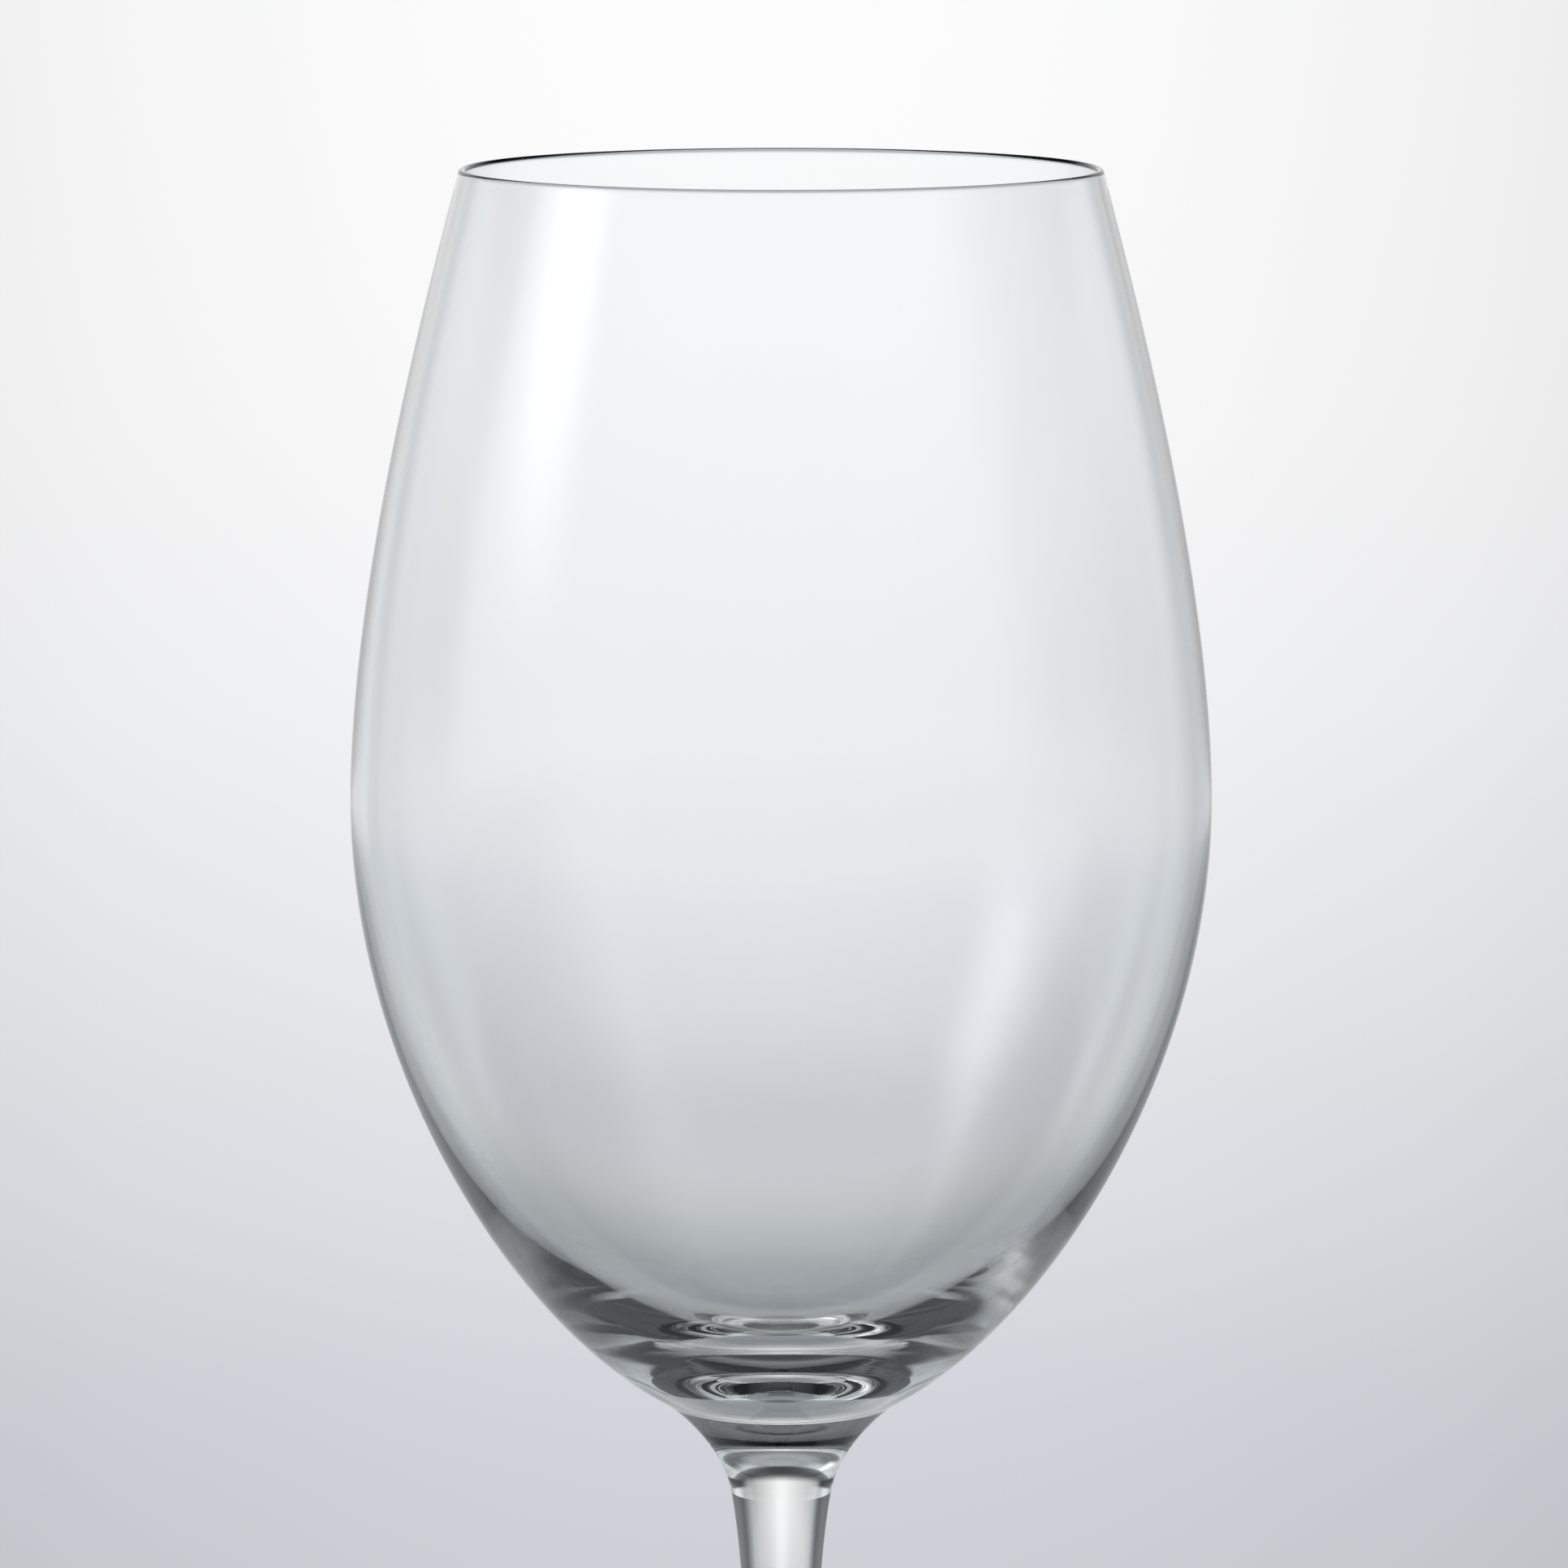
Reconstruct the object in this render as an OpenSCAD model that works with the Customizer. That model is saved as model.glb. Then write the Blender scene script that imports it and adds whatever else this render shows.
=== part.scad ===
// Wine glass with a tall tulip bowl, in three pieces of clear glass.
// The blown bowl is welded to a drawn stem, and the stem to a pressed foot.
// The origin is the centre of the ring that the glass stands on, and +Z is up.

/* [Bowl] */
// Outer diameter at the belly, the widest place
belly_d = 90; // [76:1:110]
// Outer diameter at the rim
rim_d = 66.8; // [52:0.1:82]
// Height of the belly above the weld on the stem
belly_h = 73.8; // [60:0.1:90]
// Height of the rim above the belly
shoulder_h = 66.2; // [50:0.1:82]
// Height of the solid glass between the weld and the inside of the bowl
well_h = 14.8; // [11:0.1:18]
// Thickness of the rim, which is rounded in the flame
rim_t = 0.8; // [0.6:0.1:1.6]
// Thickness of the wall at the belly
belly_t = 1.65; // [1.2:0.05:2.4]
// Lean of the wall at the rim, in degrees from upright
rim_lean = 14; // [5:1:25]
// Diameter of the ring where the bowl's base turns down into the neck
flare_d = 26.4; // [20:0.1:32]
// Height of that ring above the weld
flare_h = 10.5; // [8:0.1:13]
// Slope of the bowl's base at that ring, in degrees from level
flare_slope = 30; // [20:1:40]

/* [Stem] */
// Length of the stem from weld to weld
stem_h = 76; // [50:1:110]
// Diameter of the stem at its thinnest
stem_d = 7.3; // [5.5:0.1:9]
// Diameter of the upper weld, shared by the stem and the bowl
neck_d = 10.6; // [9.2:0.1:13]
// Diameter of the lower weld, shared by the stem and the foot
ankle_d = 10; // [9.2:0.1:13]
// Slope of the outline at both welds, in degrees from upright
weld_lean = 10; // [5:1:15]
// Length over which the stem widens below the upper weld
neck_run = 28; // [18:1:34]
// Length over which the stem widens above the lower weld
ankle_run = 18; // [12:1:24]

/* [Foot] */
// Diameter of the foot
foot_d = 78; // [64:1:94]
// Height of the lower weld above the table
foot_h = 10; // [8:0.5:14]
// Thickness of the foot at its edge
edge_t = 1.8; // [1.4:0.1:2.4]
// Slope of the top of the foot just inside its edge, in degrees from level
foot_slope = 5; // [3:1:8]
// Width of the flat ring that the glass stands on
ring_w = 3; // [2:0.5:5]
// Height of the hollow under the middle of the foot
hollow_h = 1.5; // [0.5:0.1:2]

/* [Hidden] */

// Number of straight pieces in each curved stretch of an outline
steps = 20;
// Number of straight pieces round a rim or an edge
edge_steps = 8;
// Shares of a stretch over which its ends keep their direction
belly_pull = 0.45;
base_pull = 0.27;
shoulder_pull = 0.37;
rim_pull = 0.12;
inner_belly_pull = 0.39;
inner_base_pull = 0.64;
inner_shoulder_pull = 0.4;
inner_rim_pull = 0.14;
flare_pull = 0.29;
neck_pull = 0.44;
weld_pull = 0.23;
thin_pull = 0.43;
foot_pull = 0.6;
ankle_pull = 0.5;
hollow_pull = 0.5;

// Heights of the two welds
lower_weld_z = foot_h;
upper_weld_z = foot_h + stem_h;
glass = [0.86, 0.91, 0.93, 0.45];

// A step of a given length, at an angle in degrees from level
function go(length, angle) = length * [cos(angle), sin(angle)];

// Points along a cubic Bezier curve from a to d, without a itself
function curve(a, b, c, d) = [
    for (i = [1 : steps])
        let (t = i / steps, s = 1 - t)
            s * s * s * a + 3 * s * s * t * b + 3 * s * t * t * c + t * t * t * d
];

// Points along an arc of a circle, from one angle to another
function arc(centre, r, from, to) = [
    for (i = [0 : edge_steps])
        centre + go(r, from + (to - from) * i / edge_steps)
];

// Outline of the bowl's outside, from the weld up to the rim, with the weld at height 0
function bowl_outside() =
    let (
        weld = [neck_d / 2, 0],
        flare = [flare_d / 2, flare_h],
        belly = [belly_d / 2, belly_h],
        rim = rim_centre() + go(rim_t / 2, rim_lean),
        base_run = belly_h - flare_h
    )
    concat(
        [weld],
        curve(weld, weld + go(neck_pull * flare_h, 90 - weld_lean),
            flare - go(flare_pull * flare_h, flare_slope), flare),
        curve(flare, flare + go(base_pull * base_run, flare_slope),
            belly - [0, belly_pull * base_run], belly),
        curve(belly, belly + [0, shoulder_pull * shoulder_h],
            rim + go(rim_pull * shoulder_h, rim_lean - 90), rim)
    );

// Centre of the round edge of the rim
function rim_centre() = [rim_d / 2 - rim_t / 2, belly_h + shoulder_h - rim_t / 2];

// Outline of the bowl's inside, from the rim down to the middle of the well
function bowl_inside() =
    let (
        rim = rim_centre() - go(rim_t / 2, rim_lean),
        belly = [belly_d / 2 - belly_t, belly_h],
        well = [0, well_h],
        inner_run = belly_h - well_h
    )
    concat(
        curve(rim, rim + go(inner_rim_pull * shoulder_h, rim_lean - 90),
            belly + [0, inner_shoulder_pull * shoulder_h], belly),
        curve(belly, belly - [0, inner_belly_pull * inner_run],
            well + [inner_base_pull * belly[0], 0], well)
    );

// Blown bowl: a thin wall that thickens into a solid base and a short neck
module bowl() {
    color(glass)
        translate([0, 0, upper_weld_z])
            rotate_extrude($fn = 96)
                polygon(concat(
                    [[0, 0]],
                    bowl_outside(),
                    arc(rim_centre(), rim_t / 2, rim_lean, 180 + rim_lean),
                    bowl_inside()
                ));
}

// Half of the stem's outline, from the weld to where the stem is thinnest
function stem_end(weld_r, run) =
    let (weld = [weld_r, 0], thin = [stem_d / 2, run])
    concat(
        [weld],
        curve(weld, weld + go(weld_pull * run, 90 + weld_lean),
            thin - [0, thin_pull * run], thin)
    );

// Drawn stem: solid, thinnest in the middle, and wider towards both welds
module stem() {
    lower = [for (p = stem_end(ankle_d / 2, ankle_run)) [p[0], lower_weld_z + p[1]]];
    upper = [for (p = stem_end(neck_d / 2, neck_run)) [p[0], upper_weld_z - p[1]]];
    upper_from_thin = [for (i = [len(upper) - 1 : -1 : 0]) upper[i]];
    color(glass)
        rotate_extrude($fn = 96)
            polygon(concat(
                [[0, lower_weld_z]],
                lower,
                upper_from_thin,
                [[0, upper_weld_z]]
            ));
}

// Pressed foot: a shallow cone with a rounded edge, hollow below so that it stands on a ring
module foot() {
    edge_r = edge_t / 2;
    edge = [foot_d / 2 - edge_r, edge_r];
    ring_inner = [edge[0] - ring_w, 0];
    top_edge = edge + go(edge_r, 90 - foot_slope);
    weld = [ankle_d / 2, foot_h];
    hollow = [0, hollow_h];
    color(glass)
        rotate_extrude($fn = 96)
            polygon(concat(
                [hollow],
                curve(hollow, [hollow_pull * ring_inner[0], hollow_h],
                    ring_inner - go(hollow_pull * ring_w, 0), ring_inner),
                arc(edge, edge_r, -90, 90 - foot_slope),
                curve(top_edge, top_edge + go(foot_pull * (edge[0] - weld[0]), 180 - foot_slope),
                    weld + go(ankle_pull * foot_h, weld_lean - 90), weld),
                [[0, foot_h]]
            ));
}

bowl();
stem();
foot();
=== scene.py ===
# %% [markdown]
# # Wine glass
# A stemmed glass is three pieces of clear glass: a blown bowl, a drawn stem and a pressed foot.
# They are welded to each other while hot. The CAD model holds their sizes and outlines. This
# script gives them fine, smooth surfaces, real glass, and a soft studio to stand in.

# %% Load the CAD model
import math

import bpy
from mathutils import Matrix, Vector


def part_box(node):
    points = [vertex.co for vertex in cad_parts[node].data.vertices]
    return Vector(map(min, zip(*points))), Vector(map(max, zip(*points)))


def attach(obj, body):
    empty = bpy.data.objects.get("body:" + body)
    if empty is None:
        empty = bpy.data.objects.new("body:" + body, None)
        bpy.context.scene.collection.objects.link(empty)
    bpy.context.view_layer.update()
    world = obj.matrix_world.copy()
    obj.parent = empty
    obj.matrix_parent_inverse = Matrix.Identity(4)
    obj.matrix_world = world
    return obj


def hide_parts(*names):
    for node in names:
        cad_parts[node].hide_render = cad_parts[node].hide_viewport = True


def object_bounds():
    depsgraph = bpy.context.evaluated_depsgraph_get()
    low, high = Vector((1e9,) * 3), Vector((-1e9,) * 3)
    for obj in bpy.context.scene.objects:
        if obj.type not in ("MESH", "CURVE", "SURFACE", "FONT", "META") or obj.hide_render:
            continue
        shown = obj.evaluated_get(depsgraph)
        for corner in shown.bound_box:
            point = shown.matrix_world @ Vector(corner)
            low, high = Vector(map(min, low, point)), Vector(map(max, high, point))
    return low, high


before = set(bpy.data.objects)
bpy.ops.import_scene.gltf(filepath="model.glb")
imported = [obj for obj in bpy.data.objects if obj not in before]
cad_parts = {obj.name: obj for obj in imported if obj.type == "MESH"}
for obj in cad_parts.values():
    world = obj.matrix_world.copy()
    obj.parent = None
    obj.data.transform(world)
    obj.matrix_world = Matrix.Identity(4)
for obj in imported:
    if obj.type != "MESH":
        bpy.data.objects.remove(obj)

cad_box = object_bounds()
rim_z = cad_box[1].z
print("glass is", round(rim_z * 1000, 1), "mm high")

# %% [markdown]
# ## Camera
# The camera comes first, so that every later choice can be judged through it. Glass is
# photographed from a little above the rim and from far away with a long lens, which keeps the
# mouth a thin ellipse and the sides of the bowl almost free of perspective.

# %% Camera
camera_distance = 0.8
camera_height = 0.27853
camera_pitch = math.radians(8.3125)
camera_side = 0.0003

camera_data = bpy.data.cameras.new("studio_camera")
camera_data.lens = 177.5
camera_data.sensor_width = 36
camera_data.clip_end = 40
camera = bpy.data.objects.new("studio_camera", camera_data)
camera.location = (camera_side, -camera_distance, camera_height)
camera.rotation_euler = (math.pi / 2 - camera_pitch, 0, 0)
bpy.context.scene.collection.objects.link(camera)
bpy.context.scene.camera = camera
print("camera looks down by", round(math.degrees(camera_pitch), 2), "degrees")

# %% [markdown]
# ## Outlines
# Every piece is turned round one axis, so half an outline says all about its shape. The outlines
# could be typed in again here, but then the two models could drift apart. Instead they are read
# back from the CAD meshes: all points at one radius and height are one ring, and the edges of the
# mesh say which ring comes next.

# %% Read the rings of a CAD node
ring_grain = 2e-6


def rings_in_order(node):
    """The (radius, height) of each ring of a turned node, in order along its outline."""
    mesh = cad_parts[node].data
    key_of, ring_at, links = {}, {}, {}
    for vertex in mesh.vertices:
        r, z = math.hypot(vertex.co.x, vertex.co.y), vertex.co.z
        cell = (round(r / ring_grain), round(z / ring_grain))
        near = [(cell[0] + i, cell[1] + j) for i in (-1, 0, 1) for j in (-1, 0, 1)]
        key = next((k for k in near if k in ring_at), cell)
        ring_at.setdefault(key, Vector((r, z)))
        key_of[vertex.index] = key
    for edge in mesh.edges:
        a, b = (key_of[i] for i in edge.vertices)
        if a != b:
            links.setdefault(a, set()).add(b)
            links.setdefault(b, set()).add(a)
    ends = [key for key in links if len(links[key]) == 1]
    walk = [min(ends, key=lambda key: ring_at[key].y)]
    while len(walk) < len(links):
        walk.append(next(k for k in links[walk[-1]] if k not in walk[-2:]))
    return [ring_at[key] for key in walk]


def turn_at(points, i):
    """How far the outline turns at point i, in degrees."""
    before, after = points[i] - points[i - 1], points[i + 1] - points[i]
    return abs(math.degrees(before.angle_signed(after)))


def corners_only(points, least_turn=0.1):
    """The outline without the points that only lie along a straight piece of it."""
    kept = [i for i in range(1, len(points) - 1) if turn_at(points, i) > least_turn]
    return [points[0]] + [points[i] for i in kept] + [points[-1]]


def closed_on_axis(points):
    """The outline with both ends on the axis; a flat disc's middle has no ring of its own."""
    start = [Vector((0, points[0].y))] if points[0].x > ring_grain else []
    end = [Vector((0, points[-1].y))] if points[-1].x > ring_grain else []
    return start + points + end


outlines = {name: closed_on_axis(corners_only(rings_in_order(name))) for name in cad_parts}
for name, points in outlines.items():
    print(name, "outline has", len(points), "points, widest", round(max(p.x for p in points) * 1000, 2), "mm")

# %% [markdown]
# ## Smooth outlines
# Clear glass shows every flat facet, in what it reflects and in what it bends. A curve that runs
# through all the points of an outline, with its direction at each point taken from the two
# neighbours, gives as many points between them as the surface needs. True corners, such as the
# edge of a weld, are kept sharp: the curve stops there and starts again.

# %% Smooth an outline
sharp_turn = 30
fine_steps = 4


def curve_between(a, b, c, d):
    """Points from b up to c on a centripetal Catmull-Rom curve through a, b, c and d."""
    gaps = [max((q - p).length ** 0.5, 1e-6) for p, q in ((a, b), (b, c), (c, d))]
    leave = (b - a) / gaps[0] - (c - a) / (gaps[0] + gaps[1]) + (c - b) / gaps[1]
    arrive = (c - b) / gaps[1] - (d - b) / (gaps[1] + gaps[2]) + (d - c) / gaps[2]
    leave, arrive = leave * gaps[1], arrive * gaps[1]
    points = []
    for i in range(fine_steps):
        t = i / fine_steps
        points.append((2 * t**3 - 3 * t**2 + 1) * b + (t**3 - 2 * t**2 + t) * leave
                      + (3 * t**2 - 2 * t**3) * c + (t**3 - t**2) * arrive)
    return points


def mirrored(point):
    """The same point on the other side of the axis."""
    return Vector((-point.x, point.y))


def smooth_outline(points):
    """A fine outline: curved where the CAD outline bends a little, sharp where it bends a lot."""
    last = len(points) - 1
    sharp = [0 < i < last and turn_at(points, i) > sharp_turn for i in range(last + 1)]
    fine = []
    for i in range(last):
        b, c = points[i], points[i + 1]
        a = mirrored(c) if i == 0 else b + (b - c) if sharp[i] else points[i - 1]
        d = mirrored(b) if i + 1 == last else c + (c - b) if sharp[i + 1] else points[i + 2]
        fine += curve_between(a, b, c, d)
    return fine + [points[-1]]


fine_outlines = {name: smooth_outline(points) for name, points in outlines.items()}
for name, points in fine_outlines.items():
    print(name, "fine outline has", len(points), "points")

# %% [markdown]
# ## The lathe
# A glassblower turns the hot glass on an iron, and a press mould is turned on a lathe. Geometry
# Nodes can do the same: a grid has one column for each step round the axis and one row for each
# point of the outline, and every grid point is moved to its outline point, turned by its column's
# angle. The seam and the two ends on the axis are then merged, so each piece is one closed skin.

# %% Build the lathe
merge_reach = 1e-7
weld_reach = 1e-6


def link(tree, *pairs):
    """Joins output and input sockets, pair by pair."""
    for output, socket in pairs:
        tree.links.new(output, socket)


def new_node(tree, kind, **settings):
    """A node of one kind, with its settings."""
    node = tree.nodes.new(kind)
    for key, value in settings.items():
        setattr(node, key, value)
    return node


def math_node(tree, operation, a, b):
    """A maths node whose two inputs are sockets or plain numbers."""
    node = new_node(tree, "ShaderNodeMath", operation=operation)
    for socket, value in zip(node.inputs, (a, b)):
        if isinstance(value, bpy.types.NodeSocket):
            tree.links.new(value, socket)
        else:
            socket.default_value = value
    return node.outputs[0]


def build_lathe():
    """A node tree that turns a chain of outline points into a closed skin round the Z axis."""
    tree = bpy.data.node_groups.new("lathe", "GeometryNodeTree")
    tree.is_modifier = True
    sockets = (("Outline", "NodeSocketGeometry"), ("Steps Round", "NodeSocketInt"),
               ("Crease Angle", "NodeSocketFloat"),
               ("Lower Weld", "NodeSocketFloat"), ("Upper Weld", "NodeSocketFloat"),
               ("Glass", "NodeSocketMaterial"), ("Weld", "NodeSocketMaterial"))
    for name, kind in sockets:
        tree.interface.new_socket(name, in_out="INPUT", socket_type=kind)
    tree.interface.new_socket("Skin", in_out="OUTPUT", socket_type="NodeSocketGeometry")
    enter = new_node(tree, "NodeGroupInput")
    leave = new_node(tree, "NodeGroupOutput")

    size = new_node(tree, "GeometryNodeAttributeDomainSize", component="MESH")
    columns = math_node(tree, "ADD", enter.outputs["Steps Round"], 1)
    grid = new_node(tree, "GeometryNodeMeshGrid")
    link(tree, (enter.outputs["Outline"], size.inputs[0]), (columns, grid.inputs["Vertices X"]),
         (size.outputs["Point Count"], grid.inputs["Vertices Y"]))

    index = new_node(tree, "GeometryNodeInputIndex").outputs[0]
    rows = size.outputs["Point Count"]
    row = math_node(tree, "MODULO", index, rows)
    column = math_node(tree, "FLOOR", math_node(tree, "DIVIDE", index, rows), 0)
    full_turn = math_node(tree, "MULTIPLY", column, 2 * math.pi)
    angle = math_node(tree, "DIVIDE", full_turn, enter.outputs["Steps Round"])
    place = new_node(tree, "GeometryNodeInputPosition")
    point = new_node(tree, "GeometryNodeSampleIndex", data_type="FLOAT_VECTOR", domain="POINT")
    turned = new_node(tree, "ShaderNodeVectorRotate", rotation_type="Z_AXIS")
    move = new_node(tree, "GeometryNodeSetPosition")
    link(tree, (enter.outputs["Outline"], point.inputs["Geometry"]),
         (place.outputs[0], point.inputs["Value"]),
         (row, point.inputs["Index"]), (point.outputs["Value"], turned.inputs["Vector"]),
         (angle, turned.inputs["Angle"]), (grid.outputs["Mesh"], move.inputs["Geometry"]),
         (turned.outputs[0], move.inputs["Position"]))

    merge = new_node(tree, "GeometryNodeMergeByDistance")
    merge.inputs["Distance"].default_value = merge_reach
    smooth_faces = new_node(tree, "GeometryNodeSetShadeSmooth", domain="FACE")
    bend = new_node(tree, "GeometryNodeInputMeshEdgeAngle")
    crease = new_node(tree, "FunctionNodeCompare", data_type="FLOAT", operation="GREATER_THAN")
    sharpen = new_node(tree, "GeometryNodeSetShadeSmooth", domain="EDGE")
    sharpen.inputs["Shade Smooth"].default_value = False
    glaze = new_node(tree, "GeometryNodeSetMaterial")
    link(tree, (move.outputs[0], merge.inputs["Geometry"]), (merge.outputs[0], smooth_faces.inputs[0]),
         (bend.outputs["Unsigned Angle"], crease.inputs["A"]),
         (enter.outputs["Crease Angle"], crease.inputs["B"]),
         (crease.outputs[0], sharpen.inputs["Selection"]),
         (smooth_faces.outputs[0], sharpen.inputs[0]),
         (sharpen.outputs[0], glaze.inputs["Geometry"]),
         (enter.outputs["Glass"], glaze.inputs["Material"]))

    height = new_node(tree, "ShaderNodeSeparateXYZ")
    link(tree, (place.outputs[0], height.inputs[0]))
    above = [math_node(tree, "SUBTRACT", height.outputs["Z"], enter.outputs[end])
             for end in ("Lower Weld", "Upper Weld")]
    off_weld = [math_node(tree, "ABSOLUTE", gap, 0) for gap in above]
    on_weld = math_node(tree, "LESS_THAN", math_node(tree, "MINIMUM", *off_weld), weld_reach)
    real = new_node(tree, "GeometryNodeRealizeInstances")
    join = new_node(tree, "GeometryNodeSetMaterial")
    link(tree, (glaze.outputs[0], real.inputs[0]), (real.outputs[0], join.inputs["Geometry"]),
         (on_weld, join.inputs["Selection"]), (enter.outputs["Weld"], join.inputs["Material"]),
         (join.outputs[0], leave.inputs[0]))
    return tree


lathe = build_lathe()
print("lathe tree has", len(lathe.nodes), "nodes")

# %% [markdown]
# ## Glass
# Lead-free crystal is clear and bends light by about 1.52. It is a Principled surface that lets
# all light through, and Cycles then works out what is reflected at each angle. Light that is
# caught inside the thick base is mirrored many times before it gets out, and real glass, which is
# never quite clear or quite smooth, dims it a little each time. Only caught light meets the skin
# from inside at a flat angle, so the loss is put there, and straight views stay clear. A faint
# ripple is left in the surface, as in all blown glass: without it the light in the base is too
# perfect. The slant of a surface runs from 0, seen straight on, to 1, seen from its edge.
#
# The stem is a solid rod, and so it bends light from far to the sides into its edges. A studio has
# black cards there, close to the stem and below the bowl. They are too close to be painted by
# direction, so shade is painted into the stem's glass instead: its colour darkens towards the edges
# of faces seen from outside. That suits a level view, and has a price: from steep above, where
# every surface of the stem is slanted, the whole stem looks dark.

# %% Glass materials
glass_ior = 1.52
caught_loss = 0.15
caught_slant = (0.26, 0.32)
edge_slant = (0.1, 0.44)
# How strong the painted shade at the stem's edges is; 1 would paint them black.
stem_edge_shade = 0.98
clear_colour = (0.99, 0.99, 0.99)
ripple_detail = 1


def ramped(tree, value, start, end, low=0, high=1):
    """A soft step from low at start to high at end, held at both ends; end may lie below start."""
    step = new_node(tree, "ShaderNodeMapRange", interpolation_type="SMOOTHSTEP")
    for name, number in (("From Min", start), ("From Max", end), ("To Min", low), ("To Max", high)):
        step.inputs[name].default_value = number
    tree.links.new(value, step.inputs["Value"])
    return step.outputs[0]


def mixed(tree, blend, a, b, factor=1):
    """Two colours added, multiplied or mixed."""
    node = new_node(tree, "ShaderNodeMix", data_type="RGBA", blend_type=blend)
    sockets = [node.inputs[0]] + [s for s in node.inputs if s.type == "RGBA"]
    for socket, value in zip(sockets, (factor, a, b)):
        if isinstance(value, bpy.types.NodeSocket):
            tree.links.new(value, socket)
        else:
            socket.default_value = (*value, 1) if isinstance(value, tuple) else value
    return next(s for s in node.outputs if s.type == "RGBA")


def glass_material(name, ripple_height, ripple_scale, edge_shade=0):
    """Clear glass with a faint ripple in its surface, which dims the light caught inside it.
    With edge_shade, shade is painted into its colour towards the edges of its outside faces.
    """
    material = bpy.data.materials.new(name)
    material.use_nodes = True
    tree = material.node_tree
    shader = tree.nodes["Principled BSDF"]
    shader.inputs["Roughness"].default_value = 0
    shader.inputs["IOR"].default_value = glass_ior
    side = new_node(tree, "ShaderNodeNewGeometry")
    slant = new_node(tree, "ShaderNodeLayerWeight")
    slanted = ramped(tree, slant.outputs["Facing"], *caught_slant)
    caught = math_node(tree, "MULTIPLY", side.outputs["Backfacing"], slanted)
    kept = math_node(tree, "SUBTRACT", 1, math_node(tree, "MULTIPLY", caught, caught_loss))
    # Painted shade: on faces seen from outside, edge_shade darkens the colour towards the edges, in place of
    # dark cards close by.
    outside = math_node(tree, "SUBTRACT", 1, side.outputs["Backfacing"])
    edge = math_node(tree, "MULTIPLY", outside,
                     ramped(tree, slant.outputs["Facing"], *edge_slant, high=edge_shade))
    shade = math_node(tree, "MAXIMUM", caught, edge)
    colour = mixed(tree, "MIX", clear_colour, (0, 0, 0), factor=shade)
    place = new_node(tree, "ShaderNodeTexCoord")
    noise = new_node(tree, "ShaderNodeTexNoise")
    noise.inputs["Scale"].default_value = ripple_scale
    noise.inputs["Detail"].default_value = ripple_detail
    bump = new_node(tree, "ShaderNodeBump")
    bump.inputs["Distance"].default_value = ripple_height
    link(tree, (colour, shader.inputs["Base Color"]), (kept, shader.inputs["Transmission Weight"]),
         (place.outputs["Object"], noise.inputs["Vector"]), (noise.outputs["Fac"], bump.inputs["Height"]),
         (bump.outputs["Normal"], shader.inputs["Normal"]))
    return material


def weld_material():
    """The inside of a weld, where glass meets glass and light goes straight on."""
    material = bpy.data.materials.new("fused_weld")
    material.use_nodes = True
    tree = material.node_tree
    tree.nodes.clear()
    clear = new_node(tree, "ShaderNodeBsdfTransparent")
    output = new_node(tree, "ShaderNodeOutputMaterial")
    link(tree, (clear.outputs[0], output.inputs["Surface"]))
    return material


bowl_glass = glass_material("blown_glass", ripple_height=8e-6, ripple_scale=45)
# The stem's glass carries painted shade towards its edges.
stem_glass = glass_material("drawn_glass_painted_edge_shade", ripple_height=4e-6, ripple_scale=60, edge_shade=stem_edge_shade)
foot_glass = glass_material("pressed_glass", ripple_height=4e-6, ripple_scale=60)
fused_weld = weld_material()
print("finishes are", ", ".join(m.name for m in (bowl_glass, stem_glass, foot_glass, fused_weld)))

# %% [markdown]
# ## Turn the pieces
# Each piece is turned from its own outline. The welds are flat discs that both neighbours share.
# Inside a weld the glass is one with its neighbour, so the disc's skin is given the clear weld
# finish and only the outside is seen.

# %% Turn each piece
steps_round = 192
crease_angle = math.radians(40)
lower_weld_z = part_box("stem")[0].z
upper_weld_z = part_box("stem")[1].z


def turn_piece(name, node, glass):
    """Turns one piece from its fine outline and leaves a plain mesh."""
    points = [(p.x, 0, p.y) for p in fine_outlines[node]]
    chain = bpy.data.meshes.new(name + "_outline")
    chain.from_pydata(points, [(i, i + 1) for i in range(len(points) - 1)], [])
    piece = bpy.data.objects.new(name, chain)
    bpy.context.scene.collection.objects.link(piece)
    modifier = piece.modifiers.new("lathe", "NODES")
    modifier.node_group = lathe
    values = {"Steps Round": steps_round, "Crease Angle": crease_angle, "Lower Weld": lower_weld_z,
              "Upper Weld": upper_weld_z, "Glass": glass, "Weld": fused_weld}
    for item in lathe.interface.items_tree:
        if item.in_out == "INPUT" and item.name in values:
            modifier[item.identifier] = values[item.name]
    graph = bpy.context.evaluated_depsgraph_get()
    skin = bpy.data.meshes.new_from_object(piece.evaluated_get(graph), depsgraph=graph)
    piece.modifiers.clear()
    skin.materials.pop(index=0)
    piece.data = skin
    print(name, len(skin.polygons), "faces,", [m and m.name for m in skin.materials])
    return piece


bowl = turn_piece("blown_bowl", "bowl", bowl_glass)
stem = turn_piece("drawn_stem", "stem", stem_glass)
foot = turn_piece("pressed_foot", "foot", foot_glass)
pieces = ((bowl, "bowl", "bowl_glass"), (stem, "stem", "stem_glass"), (foot, "foot", "foot_glass"))
for piece, node, slot in pieces:
    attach(piece, "root")
    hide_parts(node)

# %% [markdown]
# ## Studio
# Glass has no colour of its own: it is drawn by what it reflects and bends. So the studio is
# built the way glass is photographed. A large white sheet glows behind the glass, brightest
# straight behind it and darker towards its edges and its foot. The room round it has five heights:
# a pale table, pale shoulders at the height of the glass, dark walls that the rim and the thick
# base pick up as grey lines and bands, a dim upper part, and a ceiling. Behind the camera all of it
# is pale. One tall softbox stands at the left, where it draws the bright streak on the bowl. All of
# it is far away compared with the glass, so it is painted in the world by direction, in degrees
# up from level and degrees to the right of straight ahead.

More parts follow.
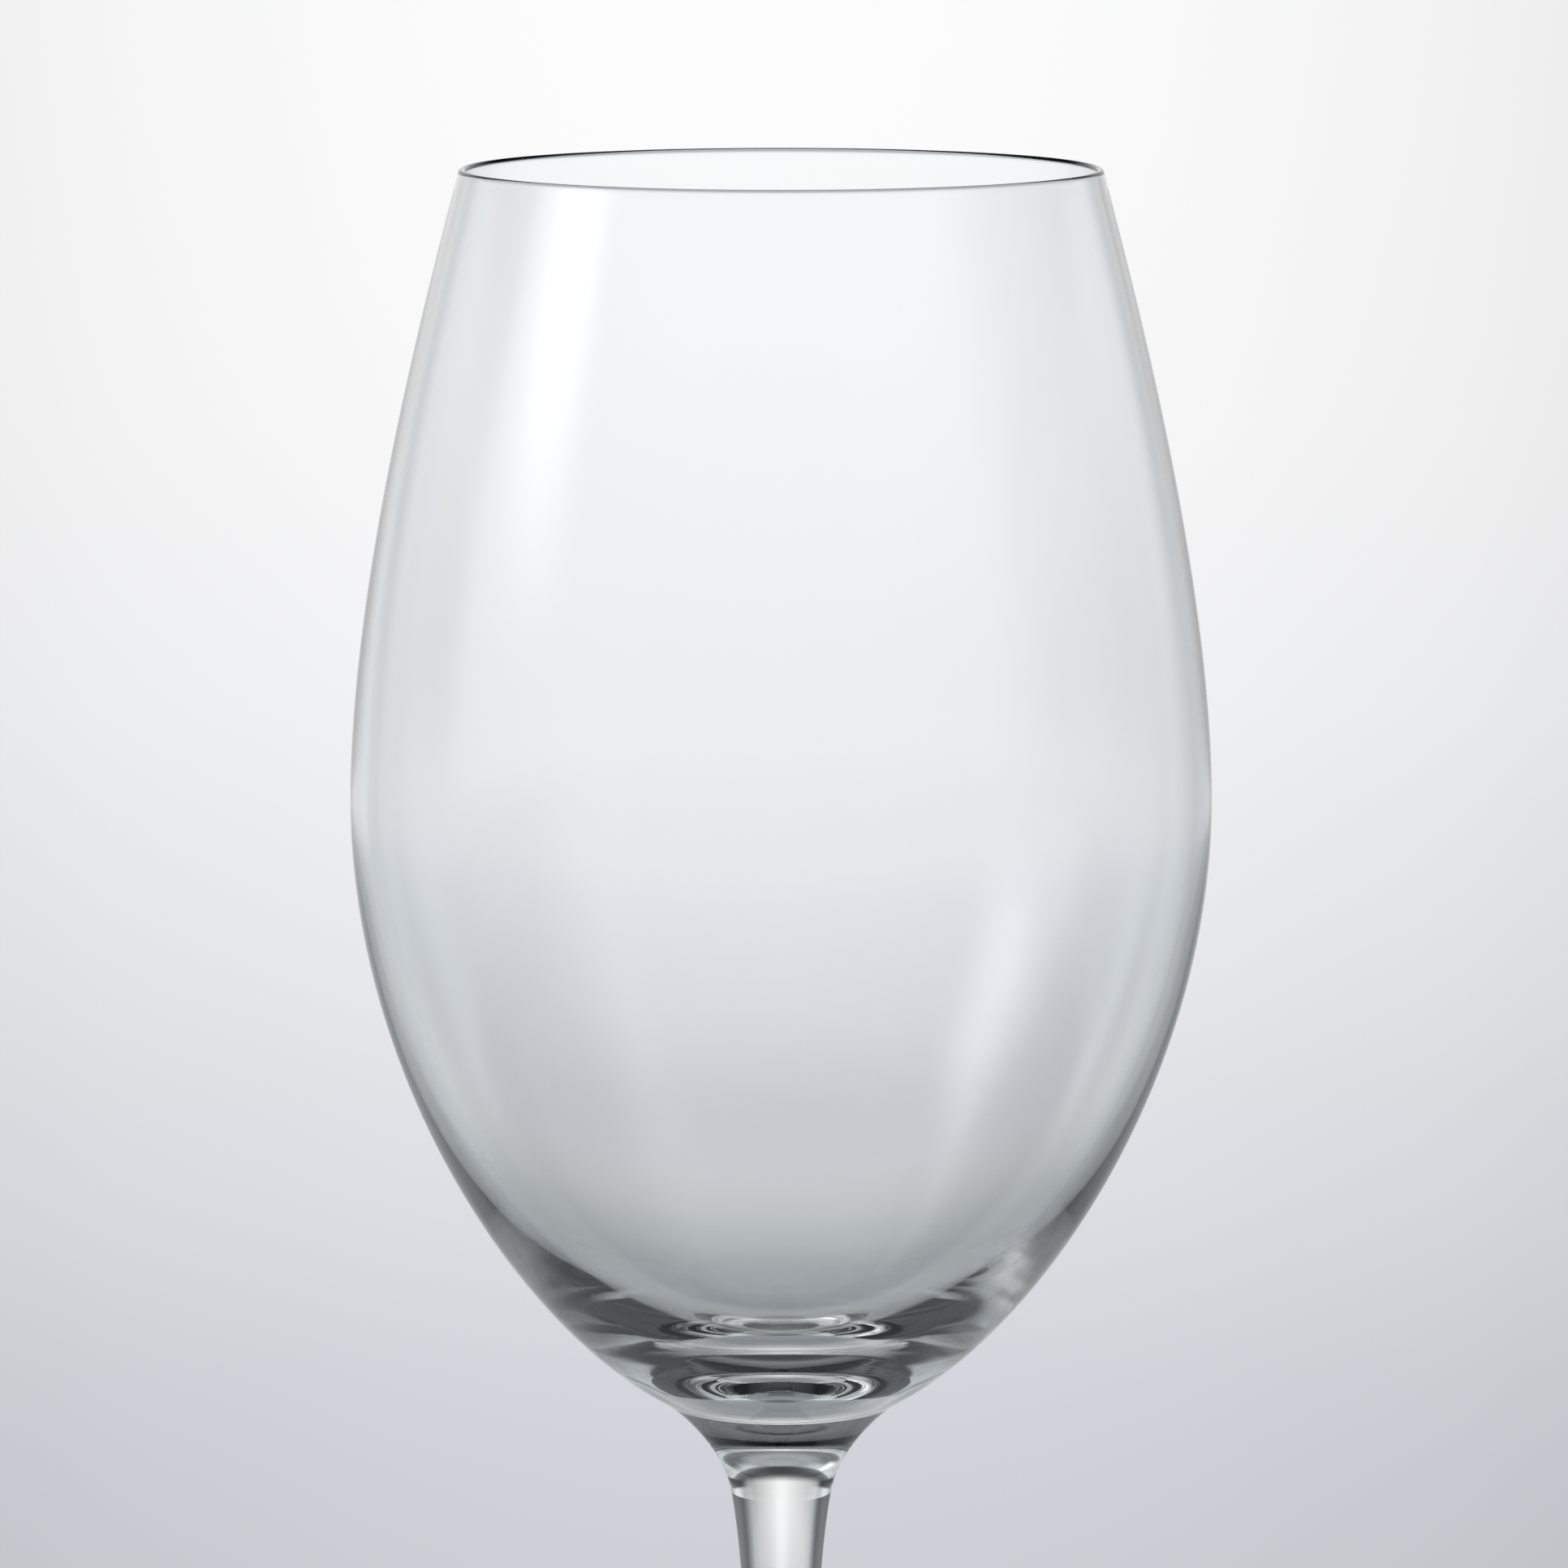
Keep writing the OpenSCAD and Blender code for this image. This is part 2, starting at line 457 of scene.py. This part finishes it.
# %% Paint the studio into the world
def ramp_node(tree, value, low, high, stops):
    """A smooth colour ramp over the range low to high, with stops of (value, colour)."""
    scale = new_node(tree, "ShaderNodeMapRange")
    scale.inputs["From Min"].default_value = low
    scale.inputs["From Max"].default_value = high
    ramp = new_node(tree, "ShaderNodeValToRGB")
    ramp.color_ramp.interpolation = "CARDINAL"
    elements = ramp.color_ramp.elements
    while len(elements) < len(stops):
        elements.new(0.5)
    for element, (place, colour) in zip(elements, stops):
        element.position = (place - low) / (high - low)
        element.color = (*colour, 1) if isinstance(colour, tuple) else (colour, colour, colour, 1)
    link(tree, (value, scale.inputs["Value"]), (scale.outputs[0], ramp.inputs["Fac"]))
    return ramp.outputs["Color"]


sheet_by_height = [(-90, (0.6, 0.61, 0.63)), (-45, (0.62, 0.63, 0.65)), (-30, (0.42, 0.45, 0.46)),
                   (-22, (0.50, 0.53, 0.54)), (-18, (0.61, 0.63, 0.65)), (-14, (0.61, 0.63, 0.67)),
                   (-12, (0.69, 0.715, 0.755)), (-10, (0.80, 0.81, 0.84)), (-8.2, (0.885, 0.89, 0.91)),
                   (-6.2, (0.945, 0.945, 0.955)), (-4, (0.97, 0.97, 0.975)), (0, (0.975, 0.975, 0.975)),
                   (14, (0.94, 0.94, 0.94)), (18, (0.5, 0.5, 0.5)), (22, (0.1, 0.1, 0.1)), (30, (0, 0, 0)),
                   (90, (0, 0, 0))]
sheet_by_side = [(-60, 0), (-46, 0.01), (-38, 0.06), (-32, 0.42), (-25, 0.58), (-20, 0.67), (-11, 0.80),
                 (-5.7, 0.905), (-3.3, 0.97), (0, 1), (3.3, 0.955), (5.7, 0.875), (11, 0.75), (14, 0.67),
                 (22, 0.50), (30, 0.32), (36, 0.08), (42, 0.01), (60, 0)]
table_light = [(-180, 0.82), (-70, 0.85), (-46, 0.8), (-36, 0.5), (-24, 0.2), (-10, 0), (10, 0), (24, 0.2),
               (36, 0.45), (46, 0.75), (70, 0.8), (180, 0.82)]
wall_light = [(-180, 0.86), (-108, 0.86), (-98, 1), (-87, 1), (-80, 0.2), (-74, 0.05), (-46, 0.05), (-20, 0),
              (20, 0), (46, 0.05), (92, 0.06), (104, 0.25), (122, 0.86), (180, 0.86)]
shoulder_light = [(-180, 0.86), (-98, 1), (-87, 1), (-78, 0.4), (-68, 0.42), (-57, 0.72), (-46, 0.82),
                  (-36, 0.4), (-24, 0.05), (-14, 0), (14, 0), (24, 0.05), (36, 0.4), (46, 0.82), (57, 0.72),
                  (68, 0.42), (92, 0.3), (104, 0.4), (120, 0.86), (180, 0.86)]
upper_light = [(-180, 0.66), (-105, 0.66), (-88, 0.22), (-50, 0.18), (0, 0.3), (50, 0.14), (90, 0.16),
               (112, 0.66), (180, 0.66)]
ceiling = (0.42, 0.42, 0.42)
room_tint = (0.91, 0.985, 1.02)
softbox_light = 1.8
softbox_left, softbox_right = (-121, -104), (-85, -102)
softbox_foot, softbox_top = (3, 18), (40, 30)
to_shoulder, to_walls, to_upper, to_ceiling = (-8, 3), (8, 13), (37, 44), (50, 68)

world = bpy.data.worlds.new("studio")
bpy.context.scene.world = world
world.use_nodes = True
tree = world.node_tree
direction = new_node(tree, "ShaderNodeTexCoord")
axes = new_node(tree, "ShaderNodeSeparateXYZ")
link(tree, (direction.outputs["Generated"], axes.inputs[0]))
degrees_up = math_node(tree, "DEGREES", math_node(tree, "ARCSINE", axes.outputs["Z"], 0), 0)
turn = math_node(tree, "ARCTAN2", axes.outputs["X"], axes.outputs["Y"])
degrees_right = math_node(tree, "DEGREES", turn, 0)
sheet = mixed(tree, "MULTIPLY", ramp_node(tree, degrees_up, -90, 90, sheet_by_height),
              ramp_node(tree, degrees_right, -60, 60, sheet_by_side))
softbox_across = math_node(tree, "MULTIPLY", ramped(tree, degrees_right, *softbox_left),
                           ramped(tree, degrees_right, *softbox_right))
softbox_up = math_node(tree, "MULTIPLY", ramped(tree, degrees_up, *softbox_foot),
                       ramped(tree, degrees_up, *softbox_top))
softbox = math_node(tree, "MULTIPLY", softbox_across, softbox_up)
softbox = math_node(tree, "MULTIPLY", softbox, softbox_light)
table, walls, shoulder, upper = [ramp_node(tree, degrees_right, -180, 180, stops)
                                 for stops in (table_light, wall_light, shoulder_light, upper_light)]
room = table
for higher, heights in ((shoulder, to_shoulder), (walls, to_walls), (upper, to_upper), (ceiling, to_ceiling)):
    room = mixed(tree, "MIX", room, higher, factor=ramped(tree, degrees_up, *heights))
room = mixed(tree, "MULTIPLY", room_tint, room)
light = mixed(tree, "ADD", mixed(tree, "ADD", sheet, room), softbox)
background = tree.nodes["Background"]
link(tree, (light, background.inputs["Color"]))
bpy.context.scene.view_settings.view_transform = "Standard"
bpy.context.scene.cycles.max_bounces = 32
bpy.context.scene.cycles.transmission_bounces = 32
bpy.context.scene.cycles.glossy_bounces = 20
print("studio has a sheet of light, a softbox and a room; its world has", len(tree.nodes), "nodes")

# %% [markdown]
# ## Floor
# The floor is a pale disc. It thins out away from the glass, so that it goes over into the sheet
# behind without an edge.

# %% Floor
floor_radius = 0.45
floor_corners = 96
solid_radius, clear_radius = 0.10, 0.27
floor_mesh = bpy.data.meshes.new("studio_floor")
floor_steps = [2 * math.pi * i / floor_corners for i in range(floor_corners)]
floor_mesh.from_pydata([(floor_radius * math.cos(a), floor_radius * math.sin(a), 0) for a in floor_steps],
                       [], [tuple(range(floor_corners))])
floor = bpy.data.objects.new("studio_floor", floor_mesh)
bpy.context.scene.collection.objects.link(floor)
floor_material = bpy.data.materials.new("pale_floor")
floor_material.use_nodes = True
tree = floor_material.node_tree
pale = tree.nodes["Principled BSDF"]
pale.inputs["Base Color"].default_value = (0.76, 0.78, 0.8, 1)
pale.inputs["Roughness"].default_value = 0.9
spot = new_node(tree, "ShaderNodeTexCoord")
distance = new_node(tree, "ShaderNodeVectorMath", operation="LENGTH")
thin = new_node(tree, "ShaderNodeMapRange", interpolation_type="SMOOTHERSTEP")
thin.inputs["From Min"].default_value = clear_radius
thin.inputs["From Max"].default_value = solid_radius
link(tree, (spot.outputs["Object"], distance.inputs[0]), (distance.outputs["Value"], thin.inputs["Value"]),
     (thin.outputs[0], pale.inputs["Alpha"]))
floor_mesh.materials.append(floor_material)
